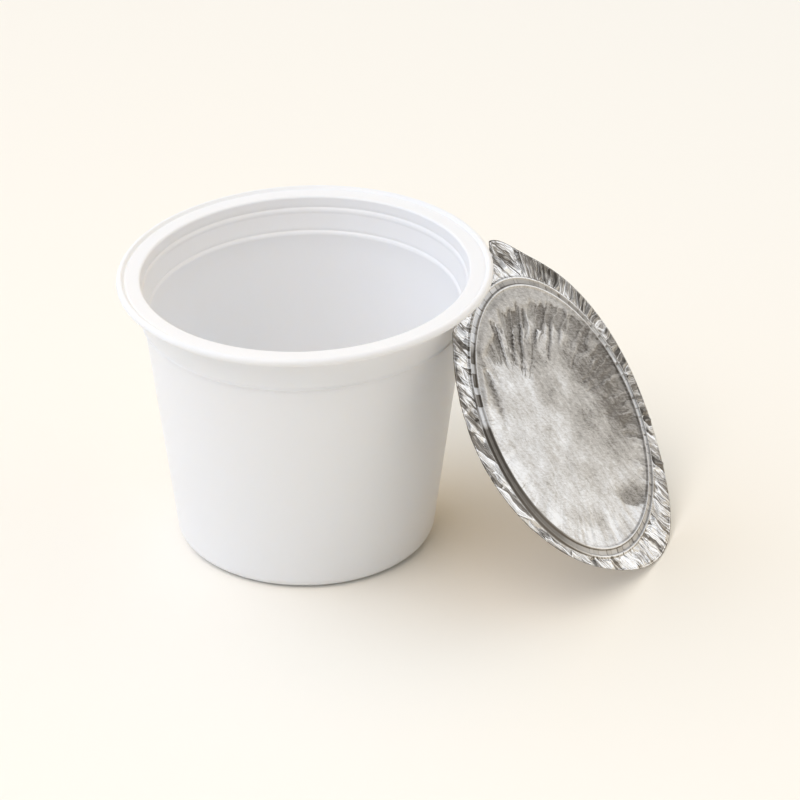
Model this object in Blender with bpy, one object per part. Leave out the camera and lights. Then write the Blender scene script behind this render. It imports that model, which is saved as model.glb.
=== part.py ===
"""A white plastic food cup with its peeled foil lid leaning on it.

Metres, +Z up. The origin is the middle of the cup's base, and the cup's axis is Z. The cup is one
turned wall: foot, tapered side, shoulder, flange and rolled lip outside, two ledges inside. The lid
is one thin sheet: a panel inside a crimped ring, and a pleated flange with two pull tabs. It stands
on its lower tab, and its upper edge is tucked under the cup's lip.
"""

import math

import bmesh
import bpy
from mathutils import Matrix, Vector

MM = 0.001

# Cup, outside (radii and heights from the base)
CUP_HEIGHT = 58.6 * MM
LIP_RADIUS = 37.5 * MM
LIP_DROP = 1.65 * MM
FLANGE_TOP = 58.12 * MM
FLANGE_THICKNESS = 0.95 * MM
GROOVE_RADIUS = 36.25 * MM
GROOVE_DEPTH = 0.12 * MM
GROOVE_WIDTH = 0.3 * MM
SIDE_RADIUS_AT_FLOOR = 26.0 * MM
SIDE_SLOPE = 0.1259
SHOULDER_HEIGHT = 49.1 * MM
SHOULDER_STEP = 0.4 * MM
SHOULDER_ROUNDING = 0.3 * MM
LIP_ROOT_ROUNDING = 0.5 * MM
FOOT_RADIUS = 24.3 * MM
FOOT_CORNER = 2.6 * MM

# Cup, inside
MOUTH_RADIUS = 32.95 * MM
MOUTH_ROUNDING = 0.55 * MM
UPPER_LEDGE_HEIGHT = 55.6 * MM
UPPER_LEDGE_RADIUS = 32.45 * MM
LOWER_LEDGE_HEIGHT = 50.9 * MM
LOWER_LEDGE_RADIUS = 31.3 * MM
LEDGE_WIDTH = 0.5 * MM
LEDGE_DEPTH = 0.5 * MM
WELL_FLOOR = 1.3 * MM
WELL_CORNER = 2.6 * MM
WALL_THICKNESS = 1.1 * MM
CUP_SIDES = 72

# Lid, measured in its own plane from the middle of its ring
LID_LEAN = math.radians(55.4)
LID_TURN = math.radians(69.2)
LID_PLACE = (51.75 * MM, -8.9 * MM)
FLOOR_GAP = 0.05 * MM
FOIL_THICKNESS = 0.3 * MM
RING_INNER_RADIUS = 28.1 * MM
RING_OUTER_RADIUS = 29.8 * MM
RING_RIDGE = 0.34 * MM
RIDGE_HALF_WIDTH = 0.36 * MM
PANEL_RISE = 0.26 * MM
EDGE_RADIUS = 33.3 * MM
EDGE_SHIFT = (0.45 * MM, 1.76 * MM)
# Each bulge of the edge: where it points, how far it reaches out and its half angle
TABS = (
    (math.radians(69.5), 3.1 * MM, math.radians(12.9)),
    (math.radians(-78.0), 5.25 * MM, math.radians(30.0)),
    (math.radians(166.0), 2.1 * MM, math.radians(31.0)),
)
# The edge that is tucked under the lip: its distance up the lid and how far across it runs
TUCK_HEIGHT = 30.55 * MM
TUCK_END = 10.8 * MM
TUCK_BLEND = 0.9 * MM
TUCK_SOFTNESS = 0.35 * MM
# Waves round the lid: how many, how high, their phase, and how far they turn from ring to edge
PLEATS = (
    (34, 0.25 * MM, 0.0, 2.7),
    (47, 0.175 * MM, 1.3, 3.6),
)
PLEAT_FULL_WIDTH = 3.0 * MM
WRINKLES = (
    (9, 0.16 * MM, 0.6, 0.0),
    (16, 0.1 * MM, 2.1, 0.0),
)
CRIMP_COUNT = 60
CRIMP_HEIGHT = 0.07 * MM
PANEL_RINGS = (0.25, 0.5, 0.7, 0.86)
FLANGE_RINGS = (0.3, 0.65, 1.0)
LID_SECTORS = 120


def material(name, colour, roughness, metallic):
    mat = bpy.data.materials.new(name)
    mat.use_nodes = True
    shader = mat.node_tree.nodes["Principled BSDF"]
    shader.inputs["Base Color"].default_value = (*colour, 1.0)
    shader.inputs["Roughness"].default_value = roughness
    shader.inputs["Metallic"].default_value = metallic
    mat.diffuse_color = (*colour, 1.0)
    return mat


def add_object(name, bm, mat, sharp_angle):
    mesh = bpy.data.meshes.new(name)
    bm.to_mesh(mesh)
    bm.free()
    mesh.shade_smooth()
    mesh.set_sharp_from_angle(angle=math.radians(sharp_angle))
    mesh.materials.append(mat)
    obj = bpy.data.objects.new(name, mesh)
    bpy.context.collection.objects.link(obj)
    return obj


def arc(centre, radius, start, end, steps):
    """Points of a round corner in the (radius, height) plane, angles in degrees."""
    points = []
    for i in range(steps + 1):
        angle = math.radians(start + (end - start) * i / steps)
        points.append((centre[0] + radius * math.cos(angle), centre[1] + radius * math.sin(angle)))
    return points


def side_radius(height):
    """Radius of the tapered side below the shoulder, at a height from the base."""
    return SIDE_RADIUS_AT_FLOOR + SIDE_SLOPE * height


def lip_middle():
    """Middle of the lip's round outer edge, and that edge's radius."""
    half = LIP_DROP / 2
    return (LIP_RADIUS - half, CUP_HEIGHT - half), half


def outer_profile():
    """The cup's outer side, from the lip's crest down to the foot."""
    middle, half = lip_middle()
    points = arc(middle, half, 78, -72, 6)
    underside = FLANGE_TOP - FLANGE_THICKNESS
    root = side_radius(underside) + SHOULDER_STEP
    points.append((middle[0], underside))
    points.append((root + LIP_ROOT_ROUNDING, underside))
    points.append((root, underside - LIP_ROOT_ROUNDING))
    # the band under the lip stands proud of the side by the shoulder's step
    above = SHOULDER_HEIGHT + SHOULDER_ROUNDING
    below = SHOULDER_HEIGHT - SHOULDER_ROUNDING
    points.append((side_radius(above) + SHOULDER_STEP, above))
    points.append((side_radius(SHOULDER_HEIGHT) + SHOULDER_STEP / 2, SHOULDER_HEIGHT))
    points.append((side_radius(below), below))
    for level in range(1, 4):
        height = below + (FOOT_CORNER - below) * level / 4
        points.append((side_radius(height), height))
    corner = (side_radius(FOOT_CORNER) - FOOT_CORNER, FOOT_CORNER)
    points += arc(corner, FOOT_CORNER, -8, -70, 4)
    points.append((FOOT_RADIUS, 0.0))
    return points


def ledge(radius, height):
    """A small rounded step outwards, going up the cup's inner side."""
    return [
        (radius - LEDGE_WIDTH, height - LEDGE_DEPTH * 0.7),
        (radius - LEDGE_WIDTH * 0.6, height - LEDGE_DEPTH * 0.1),
        (radius, height + LEDGE_DEPTH * 0.3),
    ]


def inner_profile():
    """The cup's inner side, from the well's floor over the ledges and the flange to the lip."""
    well_top = WELL_FLOOR + WELL_CORNER
    well_radius = side_radius(well_top) - WALL_THICKNESS
    points = arc((well_radius - WELL_CORNER, well_top), WELL_CORNER, -90, -8, 4)
    low = points[-1]
    lower_ledge = ledge(LOWER_LEDGE_RADIUS, LOWER_LEDGE_HEIGHT)
    for level in (1, 2):
        share = level / 3
        points.append((
            low[0] + (lower_ledge[0][0] - low[0]) * share,
            low[1] + (lower_ledge[0][1] - low[1]) * share,
        ))
    points += lower_ledge + ledge(UPPER_LEDGE_RADIUS, UPPER_LEDGE_HEIGHT)
    # the mouth's rounded edge rises onto the flat flange
    mouth = (MOUTH_RADIUS + MOUTH_ROUNDING, FLANGE_TOP - MOUTH_ROUNDING)
    points += arc(mouth, MOUTH_ROUNDING, 180, 90, 4)
    points.append((GROOVE_RADIUS - GROOVE_WIDTH, FLANGE_TOP))
    points.append((GROOVE_RADIUS, FLANGE_TOP - GROOVE_DEPTH))
    points.append((GROOVE_RADIUS + GROOVE_WIDTH * 0.6, FLANGE_TOP + GROOVE_DEPTH))
    # the lip's rounded inner side, up to where the outer side begins
    middle, half = lip_middle()
    points += arc(middle, half, 125, 100, 1)
    return points


def make_cup():
    """One closed turned wall, spun from its half section."""
    bm = bmesh.new()
    section = [(0.0, WELL_FLOOR)] + inner_profile() + outer_profile() + [(0.0, 0.0)]
    verts = [bm.verts.new((radius, 0.0, height)) for radius, height in section]
    edges = [bm.edges.new(pair) for pair in zip(verts[:-1], verts[1:])]
    bmesh.ops.spin(
        bm,
        geom=verts + edges,
        cent=(0, 0, 0),
        axis=(0, 0, 1),
        angle=2 * math.pi,
        steps=CUP_SIDES,
        use_merge=True,
        use_duplicate=False,
    )
    bmesh.ops.remove_doubles(bm, verts=bm.verts, dist=0.01 * MM)
    bmesh.ops.recalc_face_normals(bm, faces=bm.faces)
    white = material("white_plastic", (0.86, 0.86, 0.85), 0.32, 0.0)
    return add_object("cup", bm, white, 40)


def smooth_minimum(first, second, blend):
    """The lesser of two lengths, with the corner between them rounded."""
    share = max(0.0, min(1.0, 0.5 + 0.5 * (second - first) / blend))
    return second + (first - second) * share - blend * share * (1.0 - share)


def turn_between(first, second):
    """The angle from one direction to another, between -180 and 180 degrees."""
    return (first - second + math.pi) % (2 * math.pi) - math.pi


def edge_reach(angle):
    """Distance from the ring's middle to the lid's edge, in a direction of the lid's plane."""
    along = EDGE_SHIFT[0] * math.cos(angle) + EDGE_SHIFT[1] * math.sin(angle)
    shift = math.hypot(*EDGE_SHIFT)
    reach = along + math.sqrt(EDGE_RADIUS**2 - shift**2 + along**2)
    for direction, length, half_angle in TABS:
        reach += length * math.exp(-((turn_between(angle, direction) / half_angle) ** 2))
    if math.sin(angle) <= 0.5:
        return reach
    # the tucked stretch is nearly straight and ends beside the upper tab
    across = reach * math.cos(angle)
    open_share = 1.0 / (1.0 + math.exp(-(across - TUCK_END) / TUCK_SOFTNESS))
    tucked = smooth_minimum(reach, TUCK_HEIGHT / math.sin(angle), TUCK_BLEND)
    return tucked + (reach - tucked) * open_share


def ridge(radius, crest):
    """A small rounded ridge round the ring."""
    share = (radius - crest) / RIDGE_HALF_WIDTH
    return RING_RIDGE * max(0.0, 1.0 - share * share)


def waves(pattern, angle, outward):
    """Sum of the waves round the lid, each turned further the further out it runs."""
    return sum(
        height * math.sin(count * angle + phase + turn * outward)
        for count, height, phase, turn in pattern
    )


def lid_height(radius, angle, reach):
    """Height of the foil above the lid's plane."""
    height = ridge(radius, RING_INNER_RADIUS) + ridge(radius, RING_OUTER_RADIUS)
    if radius < RING_INNER_RADIUS:
        # wrinkles fan in from the ring and die out towards the middle
        share = radius / RING_INNER_RADIUS
        return height + PANEL_RISE + waves(WRINKLES, angle, share) * share**3 * (1.0 - share**8)
    if radius < RING_OUTER_RADIUS:
        share = (radius - RING_INNER_RADIUS) / (RING_OUTER_RADIUS - RING_INNER_RADIUS)
        crimp = CRIMP_HEIGHT * math.cos(CRIMP_COUNT * angle) * math.sin(math.pi * share)
        return height + PANEL_RISE * (1.0 - share) + crimp
    # slanting pleats that deepen towards the edge
    width = reach - RING_OUTER_RADIUS
    share = (radius - RING_OUTER_RADIUS) / width
    depth = share**0.7 * min(1.0, width / PLEAT_FULL_WIDTH)
    return height + waves(PLEATS, angle, share) * depth


def lid_radii(reach):
    """The rings of points from the lid's middle to its edge, in one direction."""
    radii = [RING_INNER_RADIUS * share for share in PANEL_RINGS]
    for crest in (RING_INNER_RADIUS, RING_OUTER_RADIUS):
        radii += [crest - RIDGE_HALF_WIDTH, crest, crest + RIDGE_HALF_WIDTH]
    start = radii[-1]
    return radii + [start + (reach - start) * share for share in FLANGE_RINGS]


def make_lid():
    """The foil sheet, built ring by ring and then given its thickness."""
    bm = bmesh.new()
    middle = bm.verts.new((0.0, 0.0, PANEL_RISE))
    spokes = []
    for index in range(LID_SECTORS):
        angle = 2 * math.pi * index / LID_SECTORS
        reach = edge_reach(angle)
        spoke = []
        for radius in lid_radii(reach):
            height = lid_height(radius, angle, reach)
            spoke.append(bm.verts.new((radius * math.cos(angle), radius * math.sin(angle), height)))
        spokes.append(spoke)
    for index, spoke in enumerate(spokes):
        following = spokes[(index + 1) % LID_SECTORS]
        bm.faces.new((middle, spoke[0], following[0]))
        for ring in range(len(spoke) - 1):
            bm.faces.new((spoke[ring], spoke[ring + 1], following[ring + 1], following[ring]))
    bmesh.ops.triangulate(bm, faces=bm.faces)
    foil = material("lid_foil", (0.78, 0.78, 0.77), 0.28, 1.0)
    lid = add_object("foil_lid", bm, foil, 35)
    thicken = lid.modifiers.new("foil thickness", "SOLIDIFY")
    thicken.thickness = FOIL_THICKNESS
    thicken.offset = -1.0
    return lid


def stand_lid(lid):
    """Leans the lid back towards the cup and lets its lower tab down onto the floor."""
    lid.rotation_euler = (LID_LEAN, 0.0, LID_TURN)
    turn = Matrix.Rotation(LID_TURN, 3, "Z") @ Matrix.Rotation(LID_LEAN, 3, "X")
    back = Vector((0.0, 0.0, -FOIL_THICKNESS))
    lowest = min((turn @ (vert.co + back)).z for vert in lid.data.vertices)
    lid.location = (*LID_PLACE, FLOOR_GAP - lowest)


def main():
    for obj in list(bpy.data.objects):
        bpy.data.objects.remove(obj, do_unlink=True)
    make_cup()
    stand_lid(make_lid())


main()
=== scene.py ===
"""Food cup with a peeled foil lid: an add-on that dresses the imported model.

The cup is turned from its half section by one Geometry Nodes tree. The lid is a flat round sheet
whose ring, crimps, creases and facets are raised by a second tree, and which is then leaned against
the cup. Lengths are in metres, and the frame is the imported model's own: the origin is the middle of
the cup's base, with Z up.
"""

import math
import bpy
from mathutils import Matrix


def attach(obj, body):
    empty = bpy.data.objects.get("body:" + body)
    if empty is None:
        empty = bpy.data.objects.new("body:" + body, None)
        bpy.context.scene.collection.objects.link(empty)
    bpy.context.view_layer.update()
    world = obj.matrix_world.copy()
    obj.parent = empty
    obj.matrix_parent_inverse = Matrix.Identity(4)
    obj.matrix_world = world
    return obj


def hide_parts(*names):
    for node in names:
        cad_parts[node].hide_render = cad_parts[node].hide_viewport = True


bl_info = {
    "name": "Food cup with foil lid",
    "version": (1, 0, 0),
    "blender": (4, 5, 0),
    "location": "3D View > Sidebar > Food cup",
    "description": "Makes a white plastic food cup with its peeled foil lid, and a plain stage for it",
    "category": "Add Mesh",
}

import bmesh
import bpy
from mathutils import Matrix, Vector

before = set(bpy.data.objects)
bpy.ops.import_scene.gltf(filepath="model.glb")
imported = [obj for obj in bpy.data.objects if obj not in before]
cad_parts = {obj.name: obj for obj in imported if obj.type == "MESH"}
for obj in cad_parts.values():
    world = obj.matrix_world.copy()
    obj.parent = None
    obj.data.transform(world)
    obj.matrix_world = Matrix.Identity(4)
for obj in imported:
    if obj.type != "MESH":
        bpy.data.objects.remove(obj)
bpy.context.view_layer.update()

MM = 0.001

# The cup's half section
CUP_HEIGHT = 58.6 * MM
LIP_RADIUS = 37.5 * MM
LIP_DROP = 1.65 * MM
FLANGE_TOP = 58.12 * MM
FLANGE_THICKNESS = 0.95 * MM
GROOVE_RADIUS = 36.25 * MM
GROOVE_DEPTH = 0.08 * MM
GROOVE_WIDTH = 0.3 * MM
SIDE_RADIUS_AT_FLOOR = 26.0 * MM
SIDE_SLOPE = 0.1259
SHOULDER_HEIGHT = 49.1 * MM
SHOULDER_STEP = 0.4 * MM
SHOULDER_ROUNDING = 0.24 * MM
SHOULDER_BEAD = 0.13 * MM
LIP_ROOT_ROUNDING = 0.5 * MM
FOOT_RADIUS = 24.3 * MM
FOOT_CORNER = 2.6 * MM
MOUTH_RADIUS = 32.7 * MM
MOUTH_ROUNDING = 0.5 * MM
LEDGES = ((31.3 * MM, 50.9 * MM), (32.45 * MM, 55.6 * MM))
LEDGE_WIDTH = 0.42 * MM
LEDGE_DEPTH = 0.75 * MM
LEDGE_SHAPE = ((1.0, -1.2), (1.0, -0.7), (0.6, -0.1), (0.0, 0.3), (0.0, 0.8))
WELL_FLOOR = 1.3 * MM
WELL_CORNER = 2.6 * MM
WALL_THICKNESS = 1.1 * MM
CURVE_STEPS = 4

# The lid, in its own plane: x level, y up the slope, from the middle of its ring
LID_LEAN = math.radians(55.4)
LID_TURN = math.radians(69.2)
LID_PLACE = (51.75 * MM, -8.9 * MM)
FLOOR_GAP = 0.05 * MM
FOIL_THICKNESS = 0.12 * MM
RING_INNER_RADIUS = 28.1 * MM
RING_OUTER_RADIUS = 29.8 * MM
RIDGE_HALF_WIDTH = 0.36 * MM
EDGE_RADIUS = 33.3 * MM
EDGE_SHIFT = (0.45 * MM, 1.76 * MM)
# tabs: direction in degrees, length in millimetres and half angle in degrees
TABS = ((69.5, 3.1, 12.9), (-78.0, 5.25, 30.0), (166.0, 2.1, 31.0))
TUCK_HEIGHT = 30.55 * MM
TUCK_BLEND = 0.9 * MM
TAB_SIDE_SLOPE = 1.09
TAB_SIDE_PLACE = 26.95 * MM
PANEL_SECTORS = 360
PANEL_RINGS = 44
BAND_RINGS = 16
FLANGE_RINGS = 24

# The plastic's finish
PLASTIC_FINISH = {
    "IOR": 1.49,
    "Subsurface Weight": 0.25,
    "Subsurface Radius": (1.0, 0.9, 0.8),
    "Subsurface Scale": 2.0 * MM,
}
PLASTIC_ROUGHNESS = 0.34
PLASTIC_ROUGHNESS_CHANGE = 0.05
PLASTIC_FADE = 0.985
CLOUD_SCALE = 60.0
SHEEN_SCALE = 140.0
GRAIN_SCALE = 2600.0
GRAIN_STRENGTH = 0.05
GRAIN_DEPTH = 0.05 * MM
SEAM_GAP = 0.001 * MM

# The stage, and the colours of the light from each side of the room
FLOOR_FINISH = {"Roughness": 0.9, "Specular IOR Level": 0.2}
FLOOR_SIZE = 3.0
FLOOR_LEVEL = -0.02 * MM
SENSOR_WIDTH = 36.0
CAMERA_RANGE = (0.01, 20.0)
CEILING_LIGHT = (0.0, 0.23, 0.38)
LEFT_LIGHT = (1.59, 1.71, 2.00)
RIGHT_LIGHT = (1.37, 1.16, 0.97)
BACK_LIGHT = (0.99, 0.52, 0.0)
KEY_LIGHT = (1.0, 0.757, 0.52)
MIRRORED_LIGHT = (1.24, 1.25, 1.27)
MIRRORED_WALL = (0.04, 0.4, 1.0, 0.35)
MIRRORED_SIDE = (0.1, -0.5)
PALE_WALL = (0.95, 0.93, 0.86)
KEY_PLACE = (-0.35, -0.45, 1.0)
KEY_AIM = (0.02, 0.0, 0.02)
KEY_SIZE = 0.8

# The foil's patterns, in millimetres of the lid's plane
PLANE_SIZE = 80 * MM
AROUND_RADIUS = 30.0
LINE_TILT = 0.23
LEAF_TILT = (0.92, 0.39)
FAN_CENTRE = (-15.0, 5.0)
FAN_RADIUS = 32.0
LEAF_SIZE = (1.8, 7.5, 0.0)
SLIVER_SIZE = (0.62, 6.0, 3.0)
HEM_SPAN = 8.0
FOLD_SPAN = 12.0
WIDE_FOLDS = (6.2, 0.0)
SLIM_FOLDS = (3.1, 7.3)
STREAK_PLACE = (0.9, 10.4)
STREAK_TURN = (0.902, 0.431)
STREAK_WIDTH = (4.2, 0.6)
STREAK_LENGTH = (10.0, 5.0)
STREAK_DARK_REFLECTION = 0.3
# painted light across the panel's middle, darker on one side and lighter on the other, standing in for reflections
MIDDLE_PAINTED_LIGHT = (-5.0, 10.0, 0.68, 0.4)
SCALLOP_DEPTH = 5.5
CRIMP_GAP = 0.42
RIDGE_GLINT = (0.2, 0.08, 0.0, 0.5)
RIDGE_SHADE = (0.18, 0.05, 0.0, -0.4)
RIDGE_SHADE_OFFSET = 0.33
LEAF_LINE = 0.1
SLIVER_LINE = 0.17
# painted shade and highlight lines along the rolled edge: where each starts, is full, ends and fades, as shares of
# the flange, and its strength
EDGE_SHADE_AND_HIGHLIGHT_LINES = ((0.87, 0.9, 0.94, 0.92, -0.3), (0.92, 0.94, 0.98, 0.96, 0.25))
DENT_DEPTH = 0.15 * MM
FOIL_ROUGHNESS = 0.32
# noise that is drawn out one way: its scale across and along, detail, roughness and seed
BRUSHED_LINES = (2.4, 0.5, 3.0, 0.7, 2.0)
SOFT_STREAKS = (0.42, 0.07, 4.0, 0.6, 4.0)
MOTTLE = (0.85, 0.3, 4.0, 0.7, 8.0)
FINE_GRAIN = (5.0, 1.1, 2.0, 0.7, 5.0)
LEAF_STROKES = (2.8, 0.3, 3.0, 0.65, 12.0)
FOLD_WAVES = (1 / 2.6, 1 / 15, 1.0, 0.5, 47.0)
BLOTS = (1 / 9, 1 / 26, 2.0, 0.5, 59.0)

# Round the lid, as pairs of degrees in its plane and a value: 0 is its right, 90 its top
HEM_WIDTH = ((-180, 0.0), (10, 0.0), (30, 0.25), (60, 0.48), (115, 0.5), (140, 0.3), (158, 0.1), (180, 0.0))
HEM_SHOWS = ((-180, 0.1), (-120, 0.0), (5, 0.0), (25, 0.7), (60, 1.0), (125, 1.0), (150, 0.3), (180, 0.1))
FOLD_REACH = (
    (-180, 0.05), (-75, 0.1), (-50, 0.5), (-20, 0.9), (20, 0.9), (50, 0.75), (100, 0.72), (135, 0.35), (155, 0.1),
    (180, 0.05),
)
# how strong the folds' painted shade is round the lid
FOLD_SHADE_STRENGTH = (
    (-180, 0.0), (-80, 0.0), (-55, 0.35), (-40, 0.6), (-20, 0.4), (25, 0.5), (50, 0.85), (100, 1.0), (120, 0.65),
    (135, 0.5), (150, 0.0), (180, 0.0),
)
LOBES = (
    (-180, 0.4), (-150, 0.7), (-120, 1.0), (-70, 1.0), (-50, 0.4), (50, 0.3), (70, 0.5), (120, 0.5), (180, 0.4),
)
# painted light and shade of the panel round the lid, standing in for its reflections
PANEL_PAINTED_LIGHT = (
    (-180, 0.72), (-140, 0.64), (-105, 0.69), (-80, 0.65), (-58, 0.52), (-40, 0.28), (-25, 0.17), (10, 0.07),
    (35, 0.46), (65, 0.66), (90, 0.57), (110, 0.65), (130, 0.74), (160, 0.67), (180, 0.72),
)
# painted light and shade of the ring's crimps round the lid, standing in for their reflections
RING_PAINTED_LIGHT = (
    (-180, 0.06), (-150, 0.1), (-135, 0.44), (-80, 0.5), (-50, 0.66), (-30, 1.2), (-5, 1.15), (20, 0.27), (75, 0.45),
    (100, 1.0), (154, 1.0), (156, 0.1), (180, 0.06),
)
# where crimped pieces of the ring get painted dark reflections, round the lid
DARK_RING_REFLECTIONS = ((-180, 0.0), (118, 0.0), (124, 1.0), (154, 1.0), (157, 0.0), (180, 0.0))
# strength of the panel border's painted highlight round the lid
BORDER_HIGHLIGHT = (
    (-180, 0.85), (-150, 0.65), (-120, 0.6), (-100, 0.45), (-80, 0.5), (-62, 0.1), (-40, 0.0), (-10, 0.1), (10, 0.3),
    (45, 0.0), (100, 0.1), (125, 0.55), (160, 0.45), (180, 0.85),
)
LEFT_SIDE = ((-180, 1.0), (-150, 1.0), (-115, 0.0), (135, 0.0), (158, 1.0), (180, 1.0))
RADIAL_SIDE = ((-180, 0.0), (-56, 0.0), (-54, 1.0), (56, 1.0), (58, 0.0), (180, 0.0))
FINE_SIDE = (
    (-180, 0.2), (-150, 0.35), (-125, 0.8), (-60, 0.75), (-50, 0.3), (54, 0.4), (60, 0.85), (115, 0.7), (180, 0.2),
)
# painted light and shade of the flange round the lid, standing in for its reflections
FLANGE_PAINTED_LIGHT = (
    (-180, 0.82), (-145, 0.75), (-100, 0.92), (-80, 0.94), (-62, 0.56), (-40, 0.46), (-18, 0.36), (0, 0.2),
    (20, 0.28), (52, 0.38), (57, 0.95), (68, 0.92), (80, 0.84), (100, 0.88), (120, 1.0), (140, 0.86), (180, 0.8),
)
# share of the flange's folds painted dark, as dark reflections, round the lid
FLANGE_DARK_REFLECTIONS = (
    (-180, 0.34), (-130, 0.28), (-100, 0.12), (-80, 0.14), (-62, 0.42), (-40, 0.5), (50, 0.5), (57, 0.1), (68, 0.35),
    (80, 0.3), (110, 0.12), (125, 0.05), (140, 0.34), (150, 0.38), (180, 0.34),
)

# Dents of the panel: middle, half length, half width, turn and the strength of their painted shade
DENTS = ((6.0, -23.2, 4.4, 1.9, -28, 0.7), (-16.4, 17.2, 6.2, 0.8, 67, 0.5))


class CupSettings(bpy.types.PropertyGroup):
    sectors: bpy.props.IntProperty(
        name="Sectors", description="Number of sides round the cup", default=288, min=24
    )
    rim_lift: bpy.props.FloatProperty(
        name="Rim lift",
        description="How much higher the rim stands on the lid's side than in the middle",
        default=1.05 * MM,
        unit="LENGTH",
    )
    rim_rise: bpy.props.FloatProperty(
        name="Rim rise",
        description="How much higher the rim stands at the back than at the front",
        default=0.3 * MM,
        unit="LENGTH",
    )
    rim_shift: bpy.props.FloatProperty(
        name="Rim shift",
        description="How far the rim has moved towards the lid's side",
        default=0.3 * MM,
        unit="LENGTH",
    )
    plastic_colour: bpy.props.FloatVectorProperty(
        name="Plastic",
        description="Colour of the cup's plastic",
        subtype="COLOR",
        size=3,
        default=(0.89, 0.902, 0.922),
    )


class LidSettings(bpy.types.PropertyGroup):
    ridge: bpy.props.FloatProperty(
        name="Ring ridge", description="Height of the ring's two ridges", default=0.32 * MM, unit="LENGTH"
    )
    panel_rise: bpy.props.FloatProperty(
        name="Panel rise", description="Height of the panel over the flange", default=0.14 * MM, unit="LENGTH"
    )
    facet_depth: bpy.props.FloatProperty(
        name="Facet depth", description="Depth of the flange's creases", default=1.0 * MM, unit="LENGTH"
    )
    crimp_count: bpy.props.FloatProperty(
        name="Crimps", description="Number of crimped pieces round the ring", default=76.0, min=8.0
    )
    crimp_depth: bpy.props.FloatProperty(
        name="Crimp depth", description="Step between crimped pieces", default=0.12 * MM, unit="LENGTH"
    )
    wrinkle_depth: bpy.props.FloatProperty(
        name="Wrinkle depth", description="Depth of the panel's wrinkles", default=0.3 * MM, unit="LENGTH"
    )
    # The foil colours carry painted light and shade: the dark one is painted shade in dents and folds and dark
    # reflections, the middle one painted half shade in soft hollows
    shaded_foil_colour: bpy.props.FloatVectorProperty(
        name="Dark foil", description="Foil colour in dents", subtype="COLOR", size=3, default=(0.135, 0.118, 0.098)
    )
    middle_colour: bpy.props.FloatVectorProperty(
        name="Middle foil",
        description="Foil colour in soft hollows",
        subtype="COLOR",
        size=3,
        default=(0.548, 0.52, 0.482),
    )
    light_colour: bpy.props.FloatVectorProperty(
        name="Light foil",
        description="Foil colour on open areas",
        subtype="COLOR",
        size=3,
        default=(0.925, 0.925, 0.925),
    )
    seed: bpy.props.FloatProperty(
        name="Seed", description="Picks another set of random creases", default=3.0
    )


class StageSettings(bpy.types.PropertyGroup):
    floor_colour: bpy.props.FloatVectorProperty(
        name="Floor", description="Colour of the floor", subtype="COLOR", size=3, default=(0.93, 0.905, 0.845)
    )
    key_power: bpy.props.FloatProperty(
        name="Key light", description="Power of the large soft light", default=4.42, unit="POWER"
    )
    room_light: bpy.props.FloatProperty(
        name="Room light", description="Strength of the light from all sides", default=0.98
    )
    camera_place: bpy.props.FloatVectorProperty(
        name="Camera",
        description="Where the camera stands",
        subtype="TRANSLATION",
        size=3,
        default=(19.2 * MM, -739.3 * MM, 445.8 * MM),
    )
    camera_tilt: bpy.props.FloatProperty(
        name="Camera tilt",
        description="Angle of the camera from straight down",
        subtype="ANGLE",
        default=math.radians(60.578),
    )
    camera_lens: bpy.props.FloatProperty(
        name="Lens", description="Focal length for a 36 mm sensor", default=189.0, unit="CAMERA"
    )


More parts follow.
